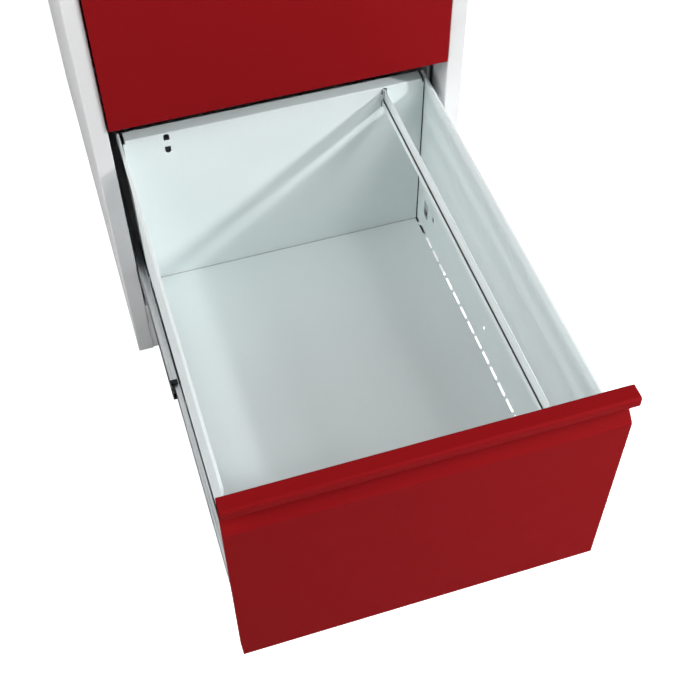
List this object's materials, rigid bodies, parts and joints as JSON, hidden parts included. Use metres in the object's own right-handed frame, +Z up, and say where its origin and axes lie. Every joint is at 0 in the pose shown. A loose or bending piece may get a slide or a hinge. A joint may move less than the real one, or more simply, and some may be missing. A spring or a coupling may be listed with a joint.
{
  "type": "filing cabinet",
  "caption": "Low steel filing cabinet with rolled full-width drawer pulls, hanging-file rails, full-extension ball slides and a lock bar; the lower drawer rests open.",
  "frame": {"origin": "on the floor, at the centre of the carcass footprint (the lower drawer stands out beyond it)", "axes": "+X to the right as seen from the front, +Y from the drawer fronts to the back panel, +Z up"},
  "size_m": [0.457, 1.1489, 0.711],
  "materials": {
    "white_paint": "satin off-white powder coat with fine orange peel",
    "red_paint": "satin deep red powder coat with fine orange peel",
    "zinc_steel": "bright zinc-plated rolled steel",
    "bright_plate": "bright nickel plate",
    "ball_steel": "polished bearing steel in thin plated strip",
    "black_plastic": "moulded black buffer, slightly rough"
  },
  "bodies": {
    "cabinet": {"left_side_panel": "white_paint", "right_side_panel": "white_paint", "top_panel": "white_paint", "back_panel": "white_paint", "back_rivets": "zinc_steel", "base_frame": "white_paint", "base_rail": "white_paint", "left_front_upright": "white_paint", "right_front_upright": "white_paint", "left_rear_upright": "white_paint", "right_rear_upright": "white_paint", "lower_left_cabinet_slide": "zinc_steel", "lower_right_cabinet_slide": "zinc_steel", "upper_left_cabinet_slide": "zinc_steel", "upper_right_cabinet_slide": "zinc_steel", "slide_screws": "zinc_steel", "lock_housing": "bright_plate", "lock_nut": "bright_plate", "lock_bar_clips": "white_paint"},
    "lock_barrel": {"lock_plug": "bright_plate", "lock_cam": "bright_plate"},
    "lock_bar": {"lock_bar": "zinc_steel"},
    "lower_drawer": {"lower_front": "red_paint", "lower_inner_front": "white_paint", "lower_shell": "white_paint", "lower_back": "white_paint", "lower_file_rail": "white_paint", "lower_left_drawer_slide": "zinc_steel", "lower_right_drawer_slide": "zinc_steel", "lower_slide_rivets": "zinc_steel", "lower_lock_catch": "white_paint"},
    "lower_slide_middle": {"lower_left_middle_slide": "zinc_steel", "lower_right_middle_slide": "zinc_steel", "lower_slide_stops": "black_plastic"},
    "lower_outer_balls": {"lower_outer_balls": "ball_steel"},
    "lower_inner_balls": {"lower_inner_balls": "ball_steel"},
    "upper_drawer": {"upper_front": "red_paint", "upper_inner_front": "white_paint", "upper_shell": "white_paint", "upper_back": "white_paint", "upper_file_rail": "white_paint", "upper_left_drawer_slide": "zinc_steel", "upper_right_drawer_slide": "zinc_steel", "upper_slide_rivets": "zinc_steel", "upper_lock_catch": "white_paint"},
    "upper_slide_middle": {"upper_left_middle_slide": "zinc_steel", "upper_right_middle_slide": "zinc_steel", "upper_slide_stops": "black_plastic"},
    "upper_outer_balls": {"upper_outer_balls": "ball_steel"},
    "upper_inner_balls": {"upper_inner_balls": "ball_steel"}
  },
  "joints": [
    {"name": "lower_drawer_slide", "type": "slide", "parent": "cabinet", "child": "lower_drawer", "axis": [0, -1, 0], "range_m": [-0.52, 0]},
    {"name": "lower_slide_middle_travel", "type": "slide", "parent": "cabinet", "child": "lower_slide_middle", "axis": [0, -1, 0], "range_m": [-0.26, 0]},
    {"name": "lower_outer_balls_travel", "type": "slide", "parent": "cabinet", "child": "lower_outer_balls", "axis": [0, -1, 0], "range_m": [-0.13, 0]},
    {"name": "lower_inner_balls_travel", "type": "slide", "parent": "cabinet", "child": "lower_inner_balls", "axis": [0, -1, 0], "range_m": [-0.39, 0]},
    {"name": "upper_drawer_slide", "type": "slide", "parent": "cabinet", "child": "upper_drawer", "axis": [0, -1, 0], "range_m": [0, 0.52]},
    {"name": "upper_slide_middle_travel", "type": "slide", "parent": "cabinet", "child": "upper_slide_middle", "axis": [0, -1, 0], "range_m": [0, 0.26]},
    {"name": "upper_outer_balls_travel", "type": "slide", "parent": "cabinet", "child": "upper_outer_balls", "axis": [0, -1, 0], "range_m": [0, 0.13]},
    {"name": "upper_inner_balls_travel", "type": "slide", "parent": "cabinet", "child": "upper_inner_balls", "axis": [0, -1, 0], "range_m": [0, 0.39]},
    {"name": "lock_bar_lift", "type": "slide", "parent": "cabinet", "child": "lock_bar", "axis": [0, 0, 1], "range_m": [0, 0.00778]},
    {"name": "lock_turn", "type": "hinge", "parent": "cabinet", "child": "lock_barrel", "pos_m": [0.218, -0.311, 0.69], "axis": [0, -1, 0], "range_deg": [0, 90.1]}
  ],
  "couplings": [
    {"joint": "lower_slide_middle_travel", "follows": "lower_drawer_slide", "ratio": 0.5},
    {"joint": "lower_outer_balls_travel", "follows": "lower_drawer_slide", "ratio": 0.25},
    {"joint": "lower_inner_balls_travel", "follows": "lower_drawer_slide", "ratio": 0.75},
    {"joint": "upper_slide_middle_travel", "follows": "upper_drawer_slide", "ratio": 0.5},
    {"joint": "upper_outer_balls_travel", "follows": "upper_drawer_slide", "ratio": 0.25},
    {"joint": "upper_inner_balls_travel", "follows": "upper_drawer_slide", "ratio": 0.75},
    {"joint": "lock_turn", "follows": "lock_bar_lift", "rad_per_m": 201.95}
  ]
}
